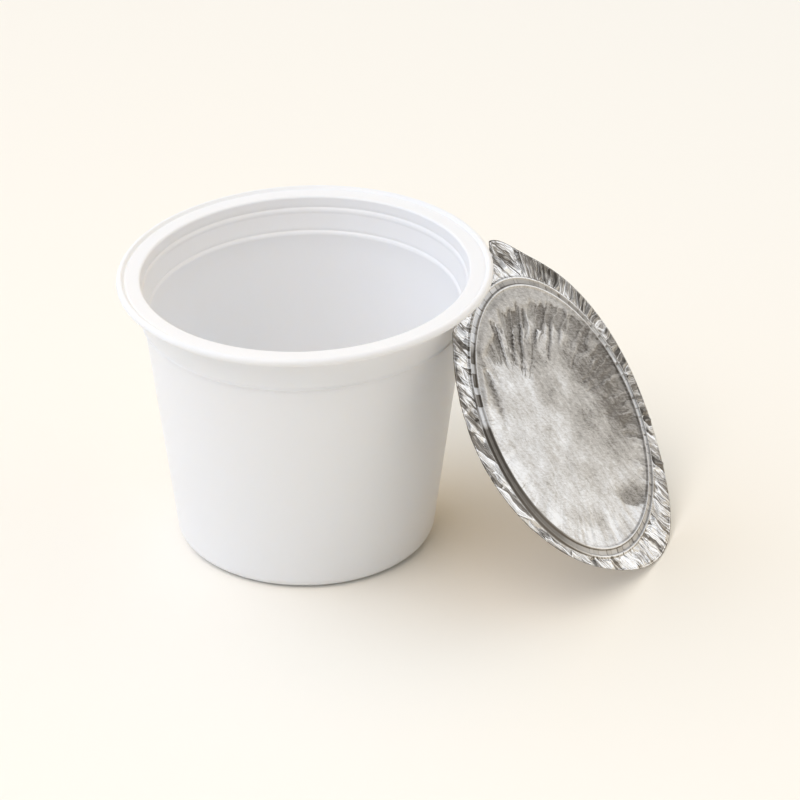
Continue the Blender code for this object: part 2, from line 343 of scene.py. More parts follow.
class Wiring:
    """Adds nodes to a tree and feeds their sockets with numbers or with other sockets."""

    def __init__(self, tree):
        self.tree = tree

    def feed(self, socket, value):
        if isinstance(value, bpy.types.NodeSocket):
            self.tree.links.new(value, socket)
        else:
            socket.default_value = (*value[:3], 1.0) if socket.type == "RGBA" else value

    def add(self, kind, inputs=None, **settings):
        node = self.tree.nodes.new(kind)
        for name, value in settings.items():
            setattr(node, name, value)
        for key, value in (inputs or {}).items():
            self.feed(node.inputs[key], value)
        return node

    def math(self, operation, *values):
        return self.add("ShaderNodeMath", dict(enumerate(values)), operation=operation).outputs[0]

    def chain(self, operation, values):
        result = values[0]
        for value in values[1:]:
            result = self.math(operation, result, value)
        return result

    def times(self, *values):
        return self.chain("MULTIPLY", values)

    def plus(self, *values):
        return self.chain("ADD", values)

    def minus(self, first, second):
        return self.math("SUBTRACT", first, second)

    def size(self, value):
        return self.math("ABSOLUTE", value)

    def above_zero(self, value):
        return self.math("MAXIMUM", value, 0.0)

    def blend(self, first, second, share):
        return self.plus(self.times(first, self.minus(1.0, share)), self.times(second, share))

    def mix_colour(self, share, first, second, way="MIX"):
        return self.add("ShaderNodeMix", {0: share, 6: first, 7: second}, data_type="RGBA", blend_type=way).outputs[2]

    def parts(self, vector):
        return self.add("ShaderNodeSeparateXYZ", {0: vector}).outputs

    def vector(self, x, y, z=0.0):
        return self.add("ShaderNodeCombineXYZ", {0: x, 1: y, 2: z}).outputs[0]

    def step(self, value, low, high, to_low=0.0, to_high=1.0):
        """Goes smoothly from one number to another while a value goes from low to high."""
        names = ("Value", "From Min", "From Max", "To Min", "To Max")
        inputs = dict(zip(names, (value, low, high, to_low, to_high)))
        return self.add("ShaderNodeMapRange", inputs, interpolation_type="SMOOTHSTEP").outputs[0]

    def noise(self, vector, scale, detail=2.0, roughness=0.5, seed=0.0):
        """Smooth noise from about -1 to 1."""
        node = self.add(
            "ShaderNodeTexNoise",
            {"Vector": vector, "W": seed, "Scale": scale, "Detail": detail, "Roughness": roughness},
            noise_dimensions="4D",
        )
        return self.math("MULTIPLY_ADD", node.outputs[0], 2.0, -1.0)

    def drawn_out(self, across, along, pattern, seed=None):
        """Noise drawn out one way, from its scale across and along, detail, roughness and seed."""
        wide, long, detail, roughness, own_seed = pattern
        place = self.vector(self.times(across, wide), self.times(along, long))
        own_seed = own_seed if seed is None else self.plus(seed, own_seed)
        return self.noise(place, 1.0, detail, roughness, own_seed)


def new_material(name, finish):
    """A material whose constant values are set on the shader's own sockets."""
    material = bpy.data.materials.new(name)
    material.use_nodes = True
    wiring = Wiring(material.node_tree)
    shader = material.node_tree.nodes["Principled BSDF"]
    for socket, value in finish.items():
        wiring.feed(shader.inputs[socket], value)
    return material, wiring, shader.inputs


def shown_numbers(settings):
    """The plain numbers among a group's settings, by the names that a user sees."""
    return {
        item.name: getattr(settings, item.identifier)
        for item in settings.bl_rna.properties
        if item.type in {"INT", "FLOAT"} and not item.is_array
    }


def new_shape_tree(name, numbers):
    """A Geometry Nodes tree with a geometry, some named numbers and a material as its inputs."""
    tree = bpy.data.node_groups.new(name, "GeometryNodeTree")
    tree.is_modifier = True
    face = tree.interface
    face.new_socket("Geometry", in_out="INPUT", socket_type="NodeSocketGeometry")
    for label, value in numbers.items():
        kind = "NodeSocketInt" if isinstance(value, int) else "NodeSocketFloat"
        face.new_socket(label, in_out="INPUT", socket_type=kind).default_value = value
    face.new_socket("Material", in_out="INPUT", socket_type="NodeSocketMaterial")
    face.new_socket("Geometry", in_out="OUTPUT", socket_type="NodeSocketGeometry")
    w = Wiring(tree)
    return w, w.add("NodeGroupInput").outputs


def end_shape_tree(w, shape, material):
    """Smooth shading, real geometry in place of instances, the material, and the tree's output."""
    smooth = w.add("GeometryNodeSetShadeSmooth", {"Geometry": shape})
    real = w.add("GeometryNodeRealizeInstances", {"Geometry": smooth.outputs[0]})
    painted = w.add("GeometryNodeSetMaterial", {"Geometry": real.outputs[0], "Material": material})
    w.add("NodeGroupOutput", {0: painted.outputs[0]})


def grow(obj, tree, values):
    """Runs a shape tree on an object and keeps the result as the object's plain mesh."""
    modifier = obj.modifiers.new(tree.name, "NODES")
    modifier.node_group = tree
    for item in tree.interface.items_tree:
        if item.in_out == "INPUT" and item.name in values:
            modifier[item.identifier] = values[item.name]
    keep_result(obj)


def keep_result(obj):
    """Replaces an object's mesh by what its modifiers make of it, and removes them."""
    bpy.context.view_layer.update()
    graph = bpy.context.evaluated_depsgraph_get()
    mesh = bpy.data.meshes.new_from_object(obj.evaluated_get(graph))
    obj.modifiers.clear()
    obj.data = mesh
    mesh.name = obj.name


def new_object(name, data):
    obj = bpy.data.objects.new(name, data)
    bpy.context.collection.objects.link(obj)
    return obj


def hand_over(obj, node):
    """Parents the piece to the frame's root and hides the solid it stands for."""
    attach(obj, "root")
    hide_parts(node)


# --- the cup ---


def arc(centre, radius, start, end, steps):
    """Points of a round corner in the (radius, height) plane, angles in degrees."""
    points = []
    for index in range(steps + 1):
        angle = math.radians(start + (end - start) * index / steps)
        points.append((centre[0] + radius * math.cos(angle), centre[1] + radius * math.sin(angle)))
    return points


def line(start, end, steps):
    """Points between two points, without the two themselves."""
    return [tuple(a + (b - a) * index / steps for a, b in zip(start, end)) for index in range(1, steps)]


def side_radius(height):
    return SIDE_RADIUS_AT_FLOOR + SIDE_SLOPE * height


def between(before, start, end, after, t):
    """A number on the way from start to end, on a smooth curve through four numbers."""
    bend = 2 * before - 5 * start + 4 * end - after
    swing = 3 * start - before - 3 * end + after
    return 0.5 * (2 * start + (end - before) * t + bend * t**2 + swing * t**3)


def curve_through(points, steps):
    """A smooth curve through a few points, which rounds a small step."""
    padded = [points[0], *points, points[-1]]
    found = []
    for index in range(len(padded) - 3):
        fours = list(zip(*padded[index : index + 4]))
        found += [tuple(between(*four, step / steps) for four in fours) for step in range(steps)]
    return found + [points[-1]]


def ledge(radius, height):
    """A small rounded step outwards, going up the cup's inner side."""
    points = [(radius - LEDGE_WIDTH * inwards, height + LEDGE_DEPTH * up) for inwards, up in LEDGE_SHAPE]
    return curve_through(points, CURVE_STEPS)


def inner_section():
    """From the well's middle over the ledges, the mouth and the flange to the groove."""
    well_top = WELL_FLOOR + WELL_CORNER
    well_radius = side_radius(well_top) - WALL_THICKNESS
    corner = arc((well_radius - WELL_CORNER, well_top), WELL_CORNER, -90, -7, 12)
    points = [(0.0, WELL_FLOOR)] + line((0.0, WELL_FLOOR), corner[0], 12) + corner
    for radius, height in LEDGES:
        step = ledge(radius, height)
        points += line(points[-1], step[0], 14) + step
    mouth = arc((MOUTH_RADIUS + MOUTH_ROUNDING, FLANGE_TOP - MOUTH_ROUNDING), MOUTH_ROUNDING, 180, 90, 10)
    points += line(points[-1], mouth[0], 6) + mouth
    groove = curve_through(
        [
            (GROOVE_RADIUS - 2 * GROOVE_WIDTH, FLANGE_TOP),
            (GROOVE_RADIUS - GROOVE_WIDTH, FLANGE_TOP - GROOVE_DEPTH),
            (GROOVE_RADIUS, FLANGE_TOP + GROOVE_DEPTH),
        ],
        CURVE_STEPS,
    )
    return points + line(points[-1], groove[0], 8) + groove


def outer_section():
    """From the lip's crest round its edge, under it, down the side and round the foot."""
    half = LIP_DROP / 2
    middle = (LIP_RADIUS - half, CUP_HEIGHT - half)
    points = arc(middle, half, 106, -80, 26)
    underside = FLANGE_TOP - FLANGE_THICKNESS
    root = side_radius(underside) + SHOULDER_STEP
    hollow = (root + LIP_ROOT_ROUNDING, underside - LIP_ROOT_ROUNDING)
    points += line(points[-1], (hollow[0], underside), 6)
    points += arc(hollow, LIP_ROOT_ROUNDING, 90, 180, 8)
    above = SHOULDER_HEIGHT + SHOULDER_ROUNDING
    below = SHOULDER_HEIGHT - SHOULDER_ROUNDING
    shoulder = curve_through(
        [
            (side_radius(above) + SHOULDER_STEP, above + SHOULDER_ROUNDING),
            (side_radius(above) + SHOULDER_STEP + SHOULDER_BEAD, above),
            (side_radius(SHOULDER_HEIGHT) + SHOULDER_STEP, SHOULDER_HEIGHT),
            (side_radius(below), below + SHOULDER_ROUNDING / 2),
            (side_radius(below) - SHOULDER_BEAD / 2, below),
            (side_radius(below - SHOULDER_ROUNDING), below - SHOULDER_ROUNDING),
        ],
        CURVE_STEPS,
    )
    points += line(points[-1], shoulder[0], 12) + shoulder
    corner = arc((side_radius(FOOT_CORNER) - FOOT_CORNER, FOOT_CORNER), FOOT_CORNER, -7, -72, 12)
    points += line(points[-1], corner[0], 44) + corner
    points += [(FOOT_RADIUS, 0.0)] + line((FOOT_RADIUS, 0.0), (0.0, 0.0), 8) + [(0.0, 0.0)]
    return points


def section_mesh():
    """The half section as a string of edges in the XZ plane."""
    points = inner_section() + outer_section()
    mesh = bpy.data.meshes.new("cup section")
    mesh.from_pydata(
        [(radius, 0.0, height) for radius, height in points],
        [(index, index + 1) for index in range(len(points) - 1)],
        [],
    )
    return mesh


def turned_wall_tree(numbers):
    """Turns a half section round the Z axis, a point of the section for each row of a grid."""
    w, given = new_shape_tree("turned wall", numbers)
    section = given["Geometry"]
    size = w.add("GeometryNodeAttributeDomainSize", {"Geometry": section}, component="MESH")
    rows = size.outputs["Point Count"]
    grid = w.add("GeometryNodeMeshGrid", {"Vertices X": w.plus(given["Sectors"], 1), "Vertices Y": rows})
    index = w.add("GeometryNodeInputIndex").outputs[0]
    place = w.add("GeometryNodeInputPosition").outputs[0]
    row = w.math("MODULO", index, rows)
    column = w.math("FLOOR", w.math("DIVIDE", w.plus(index, 0.5), rows))
    inputs = {"Geometry": section, "Value": place, "Index": row}
    sample = w.add("GeometryNodeSampleIndex", inputs, data_type="FLOAT_VECTOR")
    half = w.parts(sample.outputs[0])
    angle = w.math("DIVIDE", w.times(column, 2 * math.pi), given["Sectors"])
    across = w.times(half["X"], w.math("COSINE", angle))
    along = w.times(half["X"], w.math("SINE", angle))
    # a thin wall doesn't stay quite true: the rim leans a little, the foot stays flat
    share = w.math("DIVIDE", half["Z"], given["Height"])
    lift = w.times(given["Rim lift"], share, across, 1 / LIP_RADIUS)
    behind = w.plus(w.times(along, 1 / LIP_RADIUS), 1.0)
    lift = w.plus(lift, w.times(given["Rim rise"], share, behind, 0.5))
    place = w.vector(w.plus(across, w.times(given["Rim shift"], share)), along, w.plus(half["Z"], lift))
    moved = w.add("GeometryNodeSetPosition", {"Geometry": grid.outputs[0], "Position": place})
    closed = w.add("GeometryNodeMergeByDistance", {"Geometry": moved.outputs[0], "Distance": SEAM_GAP})
    outwards = w.add("GeometryNodeFlipFaces", {0: closed.outputs[0]})
    end_shape_tree(w, outwards.outputs[0], given["Material"])
    return w.tree


def white_plastic(colour):
    """Smooth moulded plastic with a soft sheen, a faint grain and a little light inside it."""
    material, w, shader = new_material("white plastic", PLASTIC_FINISH)
    place = w.add("ShaderNodeTexCoord").outputs["Object"]
    cloud = w.noise(place, CLOUD_SCALE, 3.0)
    faded = [channel * PLASTIC_FADE for channel in colour]
    w.feed(shader["Base Color"], w.mix_colour(w.math("MULTIPLY_ADD", cloud, 0.5, 0.5), faded, colour))
    sheen = w.noise(place, SHEEN_SCALE, 4.0)
    w.feed(shader["Roughness"], w.math("MULTIPLY_ADD", sheen, PLASTIC_ROUGHNESS_CHANGE, PLASTIC_ROUGHNESS))
    grain = w.noise(place, GRAIN_SCALE, 2.0)
    grain = w.add("ShaderNodeBump", {"Height": grain, "Strength": GRAIN_STRENGTH, "Distance": GRAIN_DEPTH})
    w.feed(shader["Normal"], grain.outputs[0])
    return material


class FOODCUP_OT_cup(bpy.types.Operator):
    """Turn the white plastic cup from its half section"""

    bl_idname = "foodcup.cup"
    bl_label = "Make the cup"

    def execute(self, context):
        settings = context.scene.food_cup
        cup = new_object("plastic_cup", section_mesh())
        numbers = {**shown_numbers(settings), "Height": CUP_HEIGHT}
        material = white_plastic(settings.plastic_colour)
        grow(cup, turned_wall_tree(numbers), {**numbers, "Material": material})
        hand_over(cup, "cup")
        return {"FINISHED"}


# --- the lid ---


def smooth_minimum(first, second, blend):
    """The lesser of two lengths, with the corner between them rounded."""
    share = max(0.0, min(1.0, 0.5 + 0.5 * (second - first) / blend))
    return second + (first - second) * share - blend * share * (1.0 - share)


def turn_between(first, second):
    return (first - second + math.pi) % (2 * math.pi) - math.pi


def edge_reach(angle):
    """Distance from the ring's middle to the lid's edge, in a direction of the lid's plane."""
    along = EDGE_SHIFT[0] * math.cos(angle) + EDGE_SHIFT[1] * math.sin(angle)
    shift = math.hypot(*EDGE_SHIFT)
    reach = along + math.sqrt(EDGE_RADIUS**2 - shift**2 + along**2)
    for direction, length, half_angle in TABS:
        off = turn_between(angle, math.radians(direction)) / math.radians(half_angle)
        reach += length * MM * math.exp(-(off**2))
    if math.sin(angle) <= 0.5:
        return reach
    # under the cup's rim the edge is level, and the tab beside it leans away from the rim
    level = TUCK_HEIGHT / math.sin(angle)
    leaning = TAB_SIDE_SLOPE * math.sin(angle) - math.cos(angle)
    if leaning <= 0.0:
        return reach
    tab_side = TAB_SIDE_PLACE / leaning
    return smooth_minimum(reach, -smooth_minimum(-level, -tab_side, TUCK_BLEND), TUCK_BLEND)


def flat_sheet():
    """The flat lid as rings of points, with its flange share and its own plane as attributes."""
    bm = bmesh.new()
    flange = bm.verts.layers.float.new("flange")
    plane = bm.loops.layers.uv.new("plane")
    inner_start = RING_INNER_RADIUS - 1.6 * RIDGE_HALF_WIDTH
    outer_start = RING_OUTER_RADIUS + 1.4 * RIDGE_HALF_WIDTH

    def ring(sectors, radius_at, share=0.0):
        verts = []
        for index in range(sectors):
            angle = 2 * math.pi * index / sectors
            radius = radius_at(angle)
            vert = bm.verts.new((radius * math.cos(angle), radius * math.sin(angle), 0.0))
            vert[flange] = share
            verts.append(vert)
        return verts

    middle = bm.verts.new((0.0, 0.0, 0.0))
    rings = []
    for step in range(1, PANEL_RINGS + 1):
        rings.append(ring(PANEL_SECTORS, lambda angle: inner_start * step / PANEL_RINGS))
    for step in range(1, BAND_RINGS + 1):
        radius = inner_start + (outer_start - inner_start) * step / BAND_RINGS
        rings.append(ring(2 * PANEL_SECTORS, lambda angle: radius))
    for step in range(1, FLANGE_RINGS + 1):
        share = step / FLANGE_RINGS
        rings.append(
            ring(2 * PANEL_SECTORS, lambda angle: outer_start + (edge_reach(angle) - outer_start) * share, share)
        )
    for index in range(PANEL_SECTORS):
        bm.faces.new((middle, rings[0][index], rings[0][(index + 1) % PANEL_SECTORS]))
    for inner, outer in zip(rings[:-1], rings[1:]):
        count = len(inner)
        for index in range(count):
            after = (index + 1) % count
            if len(outer) == count:
                bm.faces.new((inner[index], outer[index], outer[after], inner[after]))
                continue
            # each panel sector widens into two sectors of the ring
            low, mid, high = outer[2 * index], outer[2 * index + 1], outer[(2 * index + 2) % len(outer)]
            bm.faces.new((inner[index], low, mid))
            bm.faces.new((inner[index], mid, inner[after]))
            bm.faces.new((inner[after], mid, high))
    for face in bm.faces:
        for loop in face.loops:
            loop[plane].uv = (loop.vert.co.x / PLANE_SIZE + 0.5, loop.vert.co.y / PLANE_SIZE + 0.5)
    mesh = bpy.data.meshes.new("flat lid")
    bm.to_mesh(mesh)
    bm.free()
    return mesh


class Creases:
    """Where the foil is creased, in millimetres of the lid's plane, for its relief and for the painted light and
    shade of its colour.
    """

    def __init__(self, wiring, x, y, seed, crimps):
        w = wiring
        self.wiring, self.x, self.y, self.seed = w, x, y, seed
        self.radius = self.length(x, y)
        angle = w.math("ARCTAN2", y, x)
        self.turn = w.plus(w.times(angle, 0.5 / math.pi), 0.5)
        ring_x, ring_y = (w.times(w.math(way, angle), AROUND_RADIUS) for way in ("COSINE", "SINE"))
        self.around = w.vector(ring_x, ring_y, w.times(self.radius, 0.12))
        self.flat = w.vector(x, y)
        # brushed lines run down the lid, and none is quite straight
        wander = w.times(w.noise(self.flat, 0.22, 2.0, seed=seed), 1.1)
        self.side = w.plus(x, w.times(y, LINE_TILT), wander)
        self.down = w.minus(y, w.times(x, LINE_TILT))
        # the flange's creases run down to the right, but on its right side outwards
        radial = self.by_angle(RADIAL_SIDE)
        level, steep = LEAF_TILT
        straight = w.plus(w.times(x, level), w.times(y, steep), wander)
        around = w.plus(w.times(angle, 31.0), w.times(wander, 1.5))
        self.leaf_side = w.blend(straight, around, radial)
        self.leaf_down = w.blend(w.minus(w.times(x, steep), w.times(y, level)), self.radius, radial)
        # the panel's folds fan out from a place on its left
        fan_x, fan_y = w.minus(x, FAN_CENTRE[0]), w.minus(y, FAN_CENTRE[1])
        self.fan_side = w.plus(w.times(w.math("ARCTAN2", fan_y, fan_x), FAN_RADIUS), wander)
        self.fan_out = self.length(fan_x, fan_y)
        self.leaves = self.leaf_cells(*LEAF_SIZE)
        self.slivers = self.leaf_cells(*SLIVER_SIZE)
        # crimped pieces between the ring's two ridges, uneven in length
        uneven = w.times(w.noise(w.vector(ring_x, ring_y), 0.22, 1.0, seed=seed), 1.5)
        count = w.plus(w.times(self.turn, crimps), uneven)
        self.crimp_place = w.minus(w.math("FRACT", count), 0.5)
        self.crimp_number = self.number_of(count)
        self.left = self.by_angle(LEFT_SIDE)
        inner = w.plus(RING_INNER_RADIUS / MM + 0.15, w.times(self.left, -0.4))
        outer = w.plus(RING_OUTER_RADIUS / MM - 0.15, w.times(self.left, 0.95))
        self.band = w.times(
            w.step(w.minus(self.radius, inner), 0.0, 0.2), w.step(w.minus(self.radius, outer), 0.0, -0.2)
        )
        self.on_flange = w.step(w.minus(self.radius, outer), -0.05, 0.25)
        self.on_panel = w.step(self.radius, RING_INNER_RADIUS / MM + 0.1, RING_INNER_RADIUS / MM - 0.2)
        self.hem()

    def length(self, x, y):
        w = self.wiring
        return w.math("SQRT", w.plus(w.times(x, x), w.times(y, y)))

    def number_of(self, count):
        """A random number from 0 to 1 for each whole step of a count."""
        w = self.wiring
        piece = w.plus(w.math("FLOOR", count), self.seed)
        return w.add("ShaderNodeTexWhiteNoise", {"W": piece}, noise_dimensions="1D").outputs["Value"]

    def leaf_cells(self, width, length, offset):
        """Random numbers, distance from the border and place across, of long narrow cells."""
        w = self.wiring
        shift = w.plus(self.seed, offset)
        across = w.plus(w.times(self.leaf_side, 1.0 / width), w.times(shift, 13.7))
        along = w.times(self.leaf_down, 1.0 / length)
        place = w.vector(across, along)
        inputs = {"Vector": place, "Scale": 1.0}
        near, edges = (
            w.add("ShaderNodeTexVoronoi", inputs, voronoi_dimensions="2D", feature=feature).outputs
            for feature in ("F1", "DISTANCE_TO_EDGE")
        )
        away = w.add("ShaderNodeVectorMath", {0: place, 1: near["Position"]}, operation="SUBTRACT").outputs[0]
        numbers, across = w.parts(near["Color"]), w.parts(away)["X"]
        return {"numbers": numbers, "edge": edges["Distance"], "across": across, "width": width}

    def by_angle(self, stops):
        """A number that changes round the lid, from pairs of degrees and a value."""
        w = self.wiring
        node = w.add("ShaderNodeValToRGB", {0: self.turn})
        ramp = node.color_ramp
        for index, (degrees, value) in enumerate(stops):
            position = (degrees + 180) / 360
            stop = ramp.elements[index] if index < 2 else ramp.elements.new(position)
            stop.position = position
            stop.color = (value, value, value, 1.0)
        return w.parts(node.outputs[0])[0]

    def hem(self):
        """A smooth hem inside the ring, and the folds that hang from it over the panel: where they sink, which also
        gets painted shade, and raised strips, which also get painted highlights.
        """
        w = self.wiring
        inset = w.times(self.by_angle(HEM_WIDTH), HEM_SPAN)
        scallop = w.size(w.noise(self.around, 0.2, 1.0, seed=w.plus(self.seed, 41.0)))
        ragged = w.noise(self.around, 0.8, 3.0, seed=w.plus(self.seed, 43.0))
        border = w.plus(w.times(w.minus(scallop, 0.2), SCALLOP_DEPTH), w.times(ragged, 0.35))
        hem_radius = w.minus(w.plus(RING_INNER_RADIUS / MM, w.times(border, self.by_angle(HEM_SHOWS))), inset)
        self.inside = w.minus(hem_radius, self.radius)
        self.fold = w.drawn_out(self.fan_side, self.fan_out, FOLD_WAVES, self.seed)
        self.reach = w.times(self.by_angle(FOLD_REACH), FOLD_SPAN)
        wide_shade, wide_highlight = self.fold_triangles(*WIDE_FOLDS)
        slim_shade, slim_highlight = self.fold_triangles(*SLIM_FOLDS)
        below_hem = w.times(w.step(self.inside, -0.15, 0.2), self.on_panel)
        blots = w.drawn_out(self.fan_side, self.fan_out, BLOTS, self.seed)
        deep = w.plus(2.6, w.times(blots, 9.0), w.times(self.fold, 2.0))
        blot = w.times(w.step(w.minus(self.inside, deep), 0.5, -0.4), w.step(blots, -0.08, 0.0))
        # where the folds and blots sink, which also gets painted shade
        dark = w.math("MAXIMUM", w.math("MAXIMUM", w.times(wide_shade, 0.9), w.times(slim_shade, 0.65)), blot)
        self.fold_hollow_shade = w.times(dark, below_hem, self.by_angle(FOLD_SHADE_STRENGTH))
        light = w.math("MAXIMUM", wide_highlight, w.times(slim_highlight, 0.7))
        self.fold_crest_highlight = w.times(light, below_hem)

    def fold_triangles(self, width, offset):
        """Triangles that hang from the hem, each with one sharp side: where they sink, which gets painted shade, and
        a raised strip beside each, which gets a painted highlight.
        """
        w = self.wiring
        count = w.plus(w.times(self.fan_side, 1 / width), w.times(self.fold, 0.9), offset)
        place = w.math("FRACT", count)
        number = self.number_of(count)
        hang = w.times(self.reach, w.plus(0.3, w.times(number, 1.3)), w.minus(1.0, place))
        hang = w.plus(hang, w.times(self.fold, 1.5))
        shape = w.step(w.minus(self.inside, hang), 0.25, -0.35)
        shown = w.step(number, 0.15, 0.35)
        light = w.times(w.step(place, 0.8, 0.93), w.step(w.minus(self.inside, w.times(self.reach, 0.9)), 0.0, -2.0))
        return w.times(shape, shown, w.minus(1.0, w.times(place, 0.5))), light


def dent_share(creases, dent):
    """1 in the middle of a dent and 0 outside it, with a clear border."""
    w = creases.wiring
    across, up, half_length, half_width, turn, _ = dent
    ragged = w.times(w.noise(creases.around, 0.9, 3.0, seed=w.plus(creases.seed, 31.0)), 1.2)
    x = w.plus(w.minus(creases.x, across), ragged)
    y = w.minus(w.minus(creases.y, up), ragged)
    cosine, sine = math.cos(math.radians(turn)), math.sin(math.radians(turn))
    along = w.times(w.plus(w.times(x, cosine), w.times(y, sine)), 1.0 / half_length)
    aside = w.times(w.minus(w.times(y, cosine), w.times(x, sine)), 1.0 / half_width)
    above = w.step(aside, -0.1, 0.4)
    distance = w.times(creases.length(along, aside), w.minus(1.0, w.times(above, 0.5)))
    return w.step(distance, 1.2, w.minus(1.0, w.times(above, 0.8)))


def folded_cells(w, cells, slope):
    """Height of cells that are each folded up or down along their middle."""
    return w.times(cells["edge"], w.times(w.minus(cells["numbers"][0], 0.5), 2.0 * slope * cells["width"]))


def foil_relief_tree(numbers):
    """Raises the ring, crimps, creases and facets of a flat sheet."""
    w, given = new_shape_tree("foil relief", numbers)
    seed = given["Seed"]
    place = w.add("GeometryNodeInputPosition").outputs[0]
    flange = w.add("GeometryNodeInputNamedAttribute", {"Name": "flange"}, data_type="FLOAT").outputs["Attribute"]
    parts = w.parts(place)
    creases = Creases(w, w.times(parts["X"], 1 / MM), w.times(parts["Y"], 1 / MM), seed, given["Crimps"])
    radius = creases.radius

    # the ring: two ridges with crimped pieces between them
    height = 0.0
    for crest in (RING_INNER_RADIUS, RING_OUTER_RADIUS):
        share = w.times(w.minus(radius, crest / MM), MM / RIDGE_HALF_WIDTH)
        bump = w.above_zero(w.minus(1.0, w.times(share, share)))
        height = w.plus(height, w.times(given["Ring ridge"], bump))
    fall = w.step(radius, RING_OUTER_RADIUS / MM, RING_INNER_RADIUS / MM)
    height = w.plus(height, w.times(given["Panel rise"], fall))
    tilt = w.times(creases.crimp_place, w.minus(creases.crimp_number, 0.5), w.minus(3.0, w.times(creases.left, 2.6)))
    gap = w.step(w.size(creases.crimp_place), CRIMP_GAP, 0.5, 0.0, w.minus(w.times(creases.left, 0.6), 0.7))
    height = w.plus(height, w.times(given["Crimp depth"], creases.band, w.plus(tilt, gap)))

    # the flange: leaf-shaped folds, with fine slivers on them
    facets = w.plus(folded_cells(w, creases.leaves, 0.8), folded_cells(w, creases.slivers, 0.35))
    fade = w.times(w.step(flange, 0.02, 0.2), w.step(flange, 1.0, 0.8, 0.1, 1.0))
    height = w.plus(height, w.times(given["Facet depth"], fade, facets))

    # the panel: a slow swell, folds that hang from the hem, and fine wrinkles close to the ring
    swell = w.noise(creases.flat, 0.07, 2.0, seed=w.plus(seed, 23.0))
    fan = w.noise(creases.around, 0.42, 2.0, seed=w.plus(seed, 11.0))
    fan = w.times(w.minus(w.size(fan), 0.3), w.step(radius, 15.0, 26.0), creases.by_angle(LOBES))
    fine = w.times(w.noise(creases.around, 1.3, 2.0, seed=w.plus(seed, 17.0)), 0.22, w.step(radius, 21.0, 26.5))
    hem = w.step(creases.inside, 0.4, -0.3, 0.0, 0.8)
    sunk = w.plus(w.times(creases.fold_hollow_shade, -0.9), w.times(creases.fold_crest_highlight, 0.5))
    panel = w.plus(w.times(swell, 0.9), w.times(fan, 1.3), fine, hem, sunk)
    rest = w.step(radius, 27.5, 26.3)
    height = w.plus(height, w.times(given["Wrinkle depth"], panel, rest))
    for dent in DENTS:
        height = w.minus(height, w.times(dent_share(creases, dent), DENT_DEPTH))

    moved = w.add("GeometryNodeSetPosition", {"Geometry": given["Geometry"], "Offset": w.vector(0.0, 0.0, height)})
    end_shape_tree(w, moved.outputs[0], given["Material"])
    return w.tree


